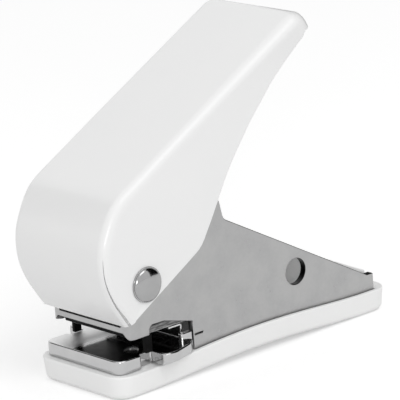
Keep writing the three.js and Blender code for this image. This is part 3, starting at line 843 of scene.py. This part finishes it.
punch_steel = turned_steel("Turned steel", (0.36, 0.36, 0.37), (0.45, 0.45, 0.45), 0.24)
punch_at = (PUNCH_X, 0.0, 0.0)
rod_profile = filleted([
    (0.0, 16.0, 0), (ROD, 15.5, 0.06), (ROD, GROOVE_LOW, 0.05), (GROOVE, GROOVE_LOW, 0.05),
    (GROOVE, GROOVE_HIGH, 0.05), (ROD, GROOVE_HIGH, 0.05), (ROD, ROD_TOP, 0.3), (0.0, ROD_TOP, 0),
], closed=False)
piece("punch_rod", [lathe(rod_profile, punch_at)],
      "punch_body", "punch_pin", punch_steel)
cap_profile = filleted([
    (1.85, 27.6, 0.05), (4.1, 27.6, 0.2), (4.1, 28.9, 0.25), (3.0, 28.9, 0.15), (2.9, 30.6, 0.7),
    (0.0, 31.0, 0), (0.0, 30.35, 0), (1.85, 30.35, 0.1), (1.85, 27.6, 0),
], closed=False)
piece("punch_head", [lathe(cap_profile, punch_at)],
      "punch_body", "punch_cap", punch_steel)
around = np.radians(np.linspace(333.0, 27.0, 60))[:, None]
r, z = filleted([(1.55, 26.9, 0.08), (2.9, 26.9, 0.1), (2.9, 27.4, 0.1), (1.55, 27.4, 0.08)]).T
clip = np.stack((PUNCH_X + r * np.cos(around), r * np.sin(around), z + 0 * around), -1)
piece("clip_ring", [swept(clip)], "punch_body", "punch_ring", punch_steel)
seat = slab(circle(punch_at[:2], 5.0, 72), [circle(punch_at[:2], 2.1)], 17.85, 0.5, 0.1, up=True)
piece("seat_washer", [seat], "frame_body", "spring_seat", punch_steel)


# Return spring
# Drawn spring wire 0.6 mm thick, wound four times round the punch between the washer and the cap.
# It lifts punch and handle, and closes up toward the washer as they go down.

SPRING_LOW = 18.2
SPRING_HIGH = 27.25
SPRING_RADIUS = 3.6
WIRE = 0.3
CURLS = 4.1
spring_wire = turned_steel("Spring wire", (0.3, 0.3, 0.31), (0.4, 0.4, 0.4), 0.2)
# At the share t of the coil it has made CURLS t turns, and its height climbs with
# t - 0.05 sin(360 t), so that it lies flatter at both ends
share = np.linspace(0.0, 1.0, 150)[:, None]
climb = share - 0.05 * np.sin(2 * np.pi * share)
angle = share * CURLS * 2 * np.pi
round_wire = np.linspace(0.0, 2 * np.pi, 12, endpoint=False)
wire_r = SPRING_RADIUS + WIRE * np.cos(round_wire)
wire_z = SPRING_LOW + (SPRING_HIGH - SPRING_LOW) * climb + WIRE * np.sin(round_wire)
coil = np.stack((PUNCH_X + wire_r * np.cos(angle), wire_r * np.sin(angle), wire_z), -1)
spring = piece("spring_coil", [swept(coil[:, ::-1])],
               "frame_body", "return_spring", spring_wire)
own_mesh(spring)


# Pivot
# One rivet through handle, washers, cheeks and a spacer sleeve, domed and chromed on both sides.
# The washers fill the play between the frame's cheeks and the handle's side panels.

HANDLE_SIDE = 18.6
HEAD = 4.8
DOME = 4.5
DOME_FOOT = HANDLE_SIDE + 0.42
DOME_RISE = 1.33
rivet_plate = finish_of(
    "Plated rivet",
    {"Metallic": 1.0},
    {
        "Base Color": lambda p: tones(noise(p, 240.0), (0.34, 0.34, 0.343), (0.41, 0.41, 0.41)),
        "Roughness": lambda p: 0.1 + 0.07 * noise(p, 500.0, 4.0),
        "Normal": lambda p: relief(noise(p, 400.0, 3.0), 0.000014),
    },
)
pivot_at = (PIVOT[0], 0.0, PIVOT[1])
around = np.radians(np.linspace(0, 90, 16))
dome = np.column_stack((DOME * np.sin(around), -DOME_FOOT - DOME_RISE * np.cos(around)))
near_profile = np.vstack((dome, filleted([
    (DOME, -HANDLE_SIDE - 0.4, 0), (HEAD, -HANDLE_SIDE - 0.38, 0.08),
    (HEAD, -HANDLE_SIDE - 0.05, 0.05), (3.0, -HANDLE_SIDE - 0.05, 0.0),
    (3.0, HANDLE_SIDE + 0.4, 0.1), (0.0, HANDLE_SIDE + 0.4, 0),
], closed=False)))
piece("rivet", [lathe(near_profile, pivot_at, "y", 96)],
      "frame_body", "pivot_rivet", rivet_plate)
far_profile = np.vstack(([
    (0.0, HANDLE_SIDE + 0.45), (3.05, HANDLE_SIDE + 0.45), (3.05, HANDLE_SIDE + 0.05),
    (HEAD, HANDLE_SIDE + 0.05), (HEAD, HANDLE_SIDE + 0.38), (DOME, HANDLE_SIDE + 0.4),
], dome[::-1] * (1, -1)))
piece("rivet_far_dome", [lathe(far_profile, pivot_at, "y", 96)],
      "frame_body", "rivet_far_head", rivet_plate)
for name, y0 in (("near", -17.4), ("far", 15.95)):
    washer = slab(circle(PIVOT, 5.6, 72), [circle(PIVOT, PIVOT_HOLE - 0.02)], y0, 1.45, 0.15)
    piece("washer_" + name, [washer],
          "frame_body", "pivot_washer_" + name, punch_steel)
sleeve_profile = filleted([
    (PIVOT_HOLE, -9.6, 0.05), (3.9, -9.6, 0.2), (3.9, 9.6, 0.2), (PIVOT_HOLE, 9.6, 0.05),
    (PIVOT_HOLE, -9.6, 0),
], closed=False)
piece("spacer_sleeve", [lathe(sleeve_profile, pivot_at, "y")],
      "frame_body", "pivot_sleeve", punch_steel)


# Handle
# A lever pressed from 1.1 mm steel sheet: flat top, curved front flap and two side panels folded
# down, with open seams at the front corners. It is enamelled white, half gloss, inside and out.

HANDLE_SHEET = 1.1
HANDLE_EDGE = 0.2
FOLD = 2.6
FOLD_AT_REAR = 3.4
TOP_AT_FRONT = 52.2
TOP_RISE = 0.55
REAR_CORNER = 3.6
SEAM_TOP = 42.6
SEAM_RUN_IN = 3.0
SEAM_GAP = 0.22
SEAM_SPREAD = 0.4


def top_at(x):
    """Height of the handle's flat top at x."""
    return TOP_AT_FRONT + TOP_RISE * x


def spline(points, step):
    """Natural cubic spline through the points by chord length, read off about every step."""
    p = np.array(points, float)
    t = np.concatenate(([0.0], np.cumsum(np.linalg.norm(np.diff(p, axis=0), axis=1))))
    h = np.diff(t)
    n = len(p)
    inner = np.arange(1, n - 1)
    system = np.eye(n)
    system[inner, inner - 1] = h[:-1]
    system[inner, inner] = 2 * (h[:-1] + h[1:])
    system[inner, inner + 1] = h[1:]
    slopes = np.diff(p, axis=0) / h[:, None]
    bends = np.vstack((np.zeros(2), 6 * np.diff(slopes, axis=0), np.zeros(2)))
    bends = np.linalg.solve(system, bends)
    s = np.linspace(0.0, t[-1], int(t[-1] / step) + 2)
    i = np.clip(np.searchsorted(t, s, "right") - 1, 0, n - 2)
    a = ((t[i + 1] - s) / h[i])[:, None]
    b = ((s - t[i]) / h[i])[:, None]
    curve = ((a ** 3 - a) * bends[i] + (b ** 3 - b) * bends[i + 1]) * (h[i] ** 2)[:, None] / 6
    return a * p[i] + b * p[i + 1] + curve


# Side view of the outer face, from the flap's lower edge over the top to its rear rounding
front_curve = spline([
    (3.9, 20.0), (1.8, 23.2), (-0.2, 26.4), (-1.95, 30.0), (-3.05, 33.4), (-3.48, 37.0),
    (-3.35, 40.2), (-2.6, 43.6), (-1.2, 46.9), (0.4, 49.9), (2.2, 52.45), (4.6, 54.55),
    (8.0, top_at(8.0)), (13.0, top_at(13.0)), (20.0, top_at(20.0)),
], 0.6)
rear_end = filleted([
    (20.0, top_at(20.0), 0), (75.5, top_at(75.5), 5.35), (75.9, 75.0, 0),
], closed=False)[:-3]
along_top = np.concatenate((np.linspace(0.0, 0.88, 30)[1:], np.linspace(0.88, 1.0, 15)[1:-1]))
flat_top = rear_end[0] + (rear_end[1] - rear_end[0]) * along_top[:, None]
path = np.vstack((front_curve, flat_top, rear_end[1:]))
steps = np.diff(path, axis=0)
length = np.concatenate(([0.0], np.cumsum(np.linalg.norm(steps, axis=1))))
steps /= np.linalg.norm(steps, axis=1)[:, None]
run = np.vstack((steps[:1], steps[:-1] + steps[1:], steps[-1:]))
run /= np.linalg.norm(run, axis=1)[:, None]
normal = np.column_stack((-run[:, 1], run[:, 0]))
fold = np.interp(length, (length[-1] - 55.0, length[-1] - 10.0), (FOLD, FOLD_AT_REAR))
# Half the width of the open seam: none at its top, SEAM_GAP soon below that, then wider downward
below_seam_top = np.maximum(length[path[:, 1] < SEAM_TOP][-1] - length, 0.0)
half_gap = SEAM_GAP * np.minimum(below_seam_top / SEAM_RUN_IN, 1.0)
half_gap += SEAM_SPREAD * (below_seam_top / below_seam_top[0]) ** 1.5


def across(first, last, side):
    """Seven columns of the fold at angles from first to last, 0 being the top and 90 degrees the
    side panel: the path moved in by fold (1 - cos angle) and out by fold sin angle."""
    angle = first[:, None] + (last - first)[:, None] * np.linspace(0.0, 1.0, 7)
    drop = (fold[:, None] * (1 - np.cos(angle)))[..., None]
    place = path[:, None] - normal[:, None] * drop
    y = side * (HANDLE_SIDE - fold[:, None] + fold[:, None] * np.sin(angle))
    tilt = (normal[:, :1] * np.cos(angle), side * np.sin(angle), normal[:, 1:] * np.cos(angle))
    return np.stack((place[..., 0], y, place[..., 1]), -1), np.stack(tilt, -1)


def sheet_of(grid):
    """Quads of an open grid of points, rows along the path and columns across it."""
    rows, n = grid.shape[:2]
    i = (np.arange(rows - 1) * n)[:, None] + np.arange(n - 1)
    return grid.reshape(-1, 3), np.stack((i + 1, i + n + 1, i + n, i), -1).reshape(-1, 4)


quarter = np.full(len(path), np.pi / 2)
gap = half_gap / fold
near_half, near_tilt = across(quarter, quarter / 2 + gap, -1)
near_top, near_top_tilt = across(quarter / 2 - gap, 0 * quarter, -1)
far_top, far_top_tilt = across(0 * quarter, quarter / 2 - gap, 1)
far_half, far_tilt = across(quarter / 2 + gap, quarter, 1)
flat_y = np.linspace(-1.0, 1.0, 9)[1:-1]
flat = near_top[:, -1:] * (1, 0, 1) - near_top[:, -1:] * (0, 1, 0) * flat_y[:, None]
centre = np.concatenate((near_top, flat, far_top), axis=1)
flat_tilt = np.repeat(near_top_tilt[:, -1:], len(flat_y), axis=1)
centre_tilt = np.concatenate((near_top_tilt, flat_tilt, far_top_tilt), axis=1)

# Side panel: from the fold down to the trimmed lower edge, with the pivot hole
fold_line = near_half[:, 0][:, [0, 2]]
lower_front = filleted([(5.6, 21.35, 0), (30.2, 35.1, 9.0), (34.4, 41.7, 0)], closed=False)
lower_rear = spline([
    (34.4, 41.7), (37.3, 46.6), (40.0, 51.2), (43.2, 55.9), (46.9, 60.6), (50.5, 65.0),
    (54.9, 69.6), (59.2, 74.1), (63.0, 77.3), (66.0, 79.7), (68.4, 81.5), (70.3, 82.9),
    (71.4, 83.8), (72.0, 84.6),
], 1.5)
lower = np.vstack((lower_front[:-1], lower_rear))[1:-1]
pivot_hole = circle(PIVOT, PIVOT_HOLE)
# Points in the panel's rear end, in rows along the top's slope, let rounded_end turn it smoothly
slope = np.array((1.0, TOP_RISE)) / np.hypot(1.0, TOP_RISE)
back_rows, drop_rows = np.meshgrid(np.arange(76.0, 83.0, 0.4), np.arange(4.0, 9.0, 0.6))
rear_grid = np.outer(back_rows, slope) + np.outer(drop_rows, (slope[1], -slope[0]))
rear_grid += (0.0, TOP_AT_FRONT)
over_edge = rear_grid[:, 1] > np.interp(rear_grid[:, 0], lower[:, 0], lower[:, 1]) + 0.4
rear_grid = rear_grid[over_edge & (rear_grid[:, 0] < fold_line[-1, 0] - 0.5)]
panel_loop = np.vstack((fold_line, lower[::-1]))[::-1]
panel_plan, panel_faces = fill([panel_loop, pivot_hole], rear_grid)


def rounded_end(points, tilts):
    """The handle drawn in toward its middle at the rear end, so that its rear corners turn round in
    plan. With d the distance along the slope of the top, t going from 0 to nearly 1 over the last
    REAR_CORNER of it, and the half width h, y becomes y s with
    s = 1 - REAR_CORNER (1 - sqrt(1 - t t)) / h. The normals turn with it."""
    x, y, z = points.T
    d = x * slope[0] + (z - TOP_AT_FRONT) * slope[1]
    t = np.maximum(d - d.max() - 0.2 + REAR_CORNER, 0.0) / REAR_CORNER
    root = np.sqrt(1 - t * t)
    s = 1 - REAR_CORNER * (1 - root) / HANDLE_SIDE
    lean = tilts[:, 1] * y * t / (root * HANDLE_SIDE * s)
    turned = (tilts[:, 0] + lean * slope[0], tilts[:, 1] / s, tilts[:, 2] + lean * slope[1])
    turned = np.column_stack(turned)
    turned /= np.linalg.norm(turned, axis=1)[:, None]
    return np.column_stack((x, y * s, z)), turned


(shell_points, shell_faces), kept = weld([
    sheet_of(near_half),
    sheet_of(centre),
    sheet_of(far_half),
    (np.insert(panel_plan, 1, -HANDLE_SIDE, axis=1), panel_faces),
    (np.insert(panel_plan, 1, HANDLE_SIDE, axis=1), panel_faces[:, ::-1]),
])
tilts = np.vstack((
    near_tilt.reshape(-1, 3),
    centre_tilt.reshape(-1, 3),
    far_tilt.reshape(-1, 3),
    np.tile((0.0, -1.0, 0.0), (len(panel_plan), 1)),
    np.tile((0.0, 1.0, 0.0), (len(panel_plan), 1)),
))
shell_points, tilts = rounded_end(shell_points, tilts[kept])
handle_paint = finish_of(
    "White enamel",
    {"IOR": 1.5, "Coat Roughness": 0.12},
    {
        "Base Color": lambda p: tones(
            noise(p, 70.0, 2.0), (0.865, 0.867, 0.868), (0.885, 0.885, 0.882)),
        "Roughness": lambda p: 0.34 + 0.06 * noise(p, 600.0),
        "Coat Weight": lambda p: 0.22 + 0.1 * noise(p, 60.0, 2.0),
        "Normal": lambda p: relief(noise(p, 900.0, 2.0), 0.00001),
    },
)
piece("handle_pressing", [thicken(shell_points, tilts, shell_faces, HANDLE_SHEET, HANDLE_EDGE)],
      "handle_body", "handle_shell", handle_paint)


# Press lever
# A steel yoke welded under the handle's top: two cheeks beside the sleeve, a web between them under
# the top, and a round nose that pushes the punch's cap.

NOSE = (18.2, 0.0, 34.6)
YOKE_SHEET = 1.6
WEB_TOP = 1.7
yoke_outline = filleted([
    (5.4, 31.5, 1.0), (6.0, 27.9, 2.0), (8.2, 25.4, 2.0), (11.2, 24.7, 2.0), (14.2, 26.0, 2.0),
    (15.9, 29.4, 2.0), (17.0, 32.0, 1.0), (21.6, 33.6, 3.0), (25.0, 37.5, 3.0),
    (46.5, top_at(46.5) - 6.5, 1.0), (46.5, top_at(46.5) - WEB_TOP, 0.3),
    (14.0, top_at(14.0) - WEB_TOP, 2.0), (8.0, 46.0, 2.0),
])
web_outline = filleted([
    (x, top_at(x) - drop, 0.2)
    for x, drop in ((14.0, 2 * WEB_TOP), (46.5, 2 * WEB_TOP), (46.5, WEB_TOP), (14.0, WEB_TOP))
])
nose_profile = filleted([
    (0.0, -10.5, 0), (3.4, -10.5, 0.3), (3.4, 10.5, 0.3), (0.0, 10.5, 0),
], closed=False)
piece("press_yoke", [
    slab(yoke_outline, [pivot_hole], -11.6, YOKE_SHEET, 0.2),
    slab(yoke_outline, [pivot_hole], 10.0, YOKE_SHEET, 0.2),
    slab(web_outline, [], -10.0, 20.0, 0.1),
    lathe(nose_profile, NOSE, "y"),
], "handle_body", "press_lever", punch_steel)


# Studio
# The part stands on a white sweep that runs out past the picture, under an even white sky and two
# soft lamps. Floor and sky are white to the camera and to mirrors; the floor keeps the soft shadow.

SKY = 0.7
FLOOR_GLOW = 0.36
FLOOR_HALF = 4.0
FLOOR_Z = -0.00005


def seen(place):
    """1 for rays from the camera, a mirror or through glass, 0 for light falling on a surface."""
    ray = place.tree.nodes.new("ShaderNodeLightPath")
    names = ("Is Camera Ray", "Is Glossy Ray", "Is Transmission Ray")
    camera_ray, glossy, clear = (Shade(place.tree, ray.outputs[name]) for name in names)
    return place.math("MAXIMUM", place.math("MAXIMUM", camera_ray, glossy), clear)


world = bpy.data.worlds.new("world")
bpy.context.scene.world = world
world.use_nodes = True
sky = world.node_tree.nodes["Background"]
sky_colour = tones(seen(Shade(world.node_tree, None)), SKY, 1.0)
world.node_tree.links.new(sky_colour.socket, sky.inputs["Color"])


def card(name, corners, finish, in_mirrors_only=False):
    """Flat stage object with these four corners, in metres. It may show only in polished metal."""
    mesh = bpy.data.meshes.new(name)
    mesh.from_pydata(corners, [], [(0, 1, 2, 3)])
    mesh.materials.append(finish)
    made = bpy.data.objects.new(name, mesh)
    bpy.context.scene.collection.objects.link(made)
    if in_mirrors_only:
        made.visible_camera = False
        made.visible_diffuse = False
        made.visible_transmission = False
        made.visible_shadow = False


floor_white = finish_of("White sweep", {"Specular IOR Level": 0.0, "Emission Strength": 1.0}, {
    "Base Color": lambda p: tones(noise(p, 12.0), 0.79, 0.8),
    "Roughness": lambda p: 0.9 + 0.05 * noise(p, 300.0),
    "Emission Color": lambda p: tones(seen(p), 0.0, FLOOR_GLOW),
})
floor_corners = [(-1, -1), (1, -1), (1, 1), (-1, 1)]
card("floor", [(x * FLOOR_HALF, y * FLOOR_HALF, FLOOR_Z) for x, y in floor_corners], floor_white)

# Two black cards, beside and above the stage
card_black = finish_of("Black card", {"Specular IOR Level": 0.0}, {
    "Base Color": lambda p: tones(noise(p, 20.0), 0.006, 0.012),
    "Roughness": lambda p: 0.8 + 0.1 * noise(p, 300.0),
})
beside = [(0.15, -0.25, 0.03), (0.15, 0.13, 0.03), (0.15, 0.13, 0.35), (0.15, -0.25, 0.35)]
above = [(-0.6, 0.72, 0.3), (-0.16, 0.72, 0.3), (-0.16, 0.2, 0.74), (-0.6, 0.2, 0.74)]
card("card_right", beside, card_black, in_mirrors_only=True)
card("card_ceiling", above, card_black, in_mirrors_only=True)


def lamp(name, place, aim, size, watts):
    """Square soft lamp at place, in metres, that faces aim."""
    data = bpy.data.lights.new(name, "AREA")
    data.size = size
    data.energy = watts
    made = bpy.data.objects.new(name, data)
    bpy.context.scene.collection.objects.link(made)
    made.location = place
    made.rotation_euler = (Vector(aim) - Vector(place)).to_track_quat("-Z", "Y").to_euler()


lamp("key", (0.0, -0.55, 0.78), (0.0, 0.0, 0.04), 0.5, 1.52)
lamp("beside_camera", (-0.63, -0.66, 0.29), (0.0, 0.0, 0.02), 0.2, 1.45)


# Camera
# A long lens from the front left, a little above the part, rolled about four degrees. The lens and
# the place come from a fit of straight edges in the photograph.

FOCAL_PIXELS = 2926.74
PICTURE_PIXELS = 400.0
camera_data = bpy.data.cameras.new("camera")
camera_data.sensor_width = 36.0
camera_data.lens = FOCAL_PIXELS / PICTURE_PIXELS * camera_data.sensor_width
camera_data.clip_end = 20.0
camera = bpy.data.objects.new("camera", camera_data)
bpy.context.scene.collection.objects.link(camera)
bpy.context.scene.camera = camera
view_right = Vector((0.74020213, -0.66898198, -0.06755678))
view_up = Vector((0.23019604, 0.15772982, 0.96027657))
view_back = view_right.cross(view_up)
camera_place = Vector((-0.45116609 - ORIGIN_X / 1000.0, -0.57274691, 0.25454766))
facing = Matrix((view_right, view_up, view_back)).transposed().to_4x4()
camera.matrix_world = Matrix.Translation(camera_place) @ facing
bpy.context.scene.view_settings.view_transform = "Standard"
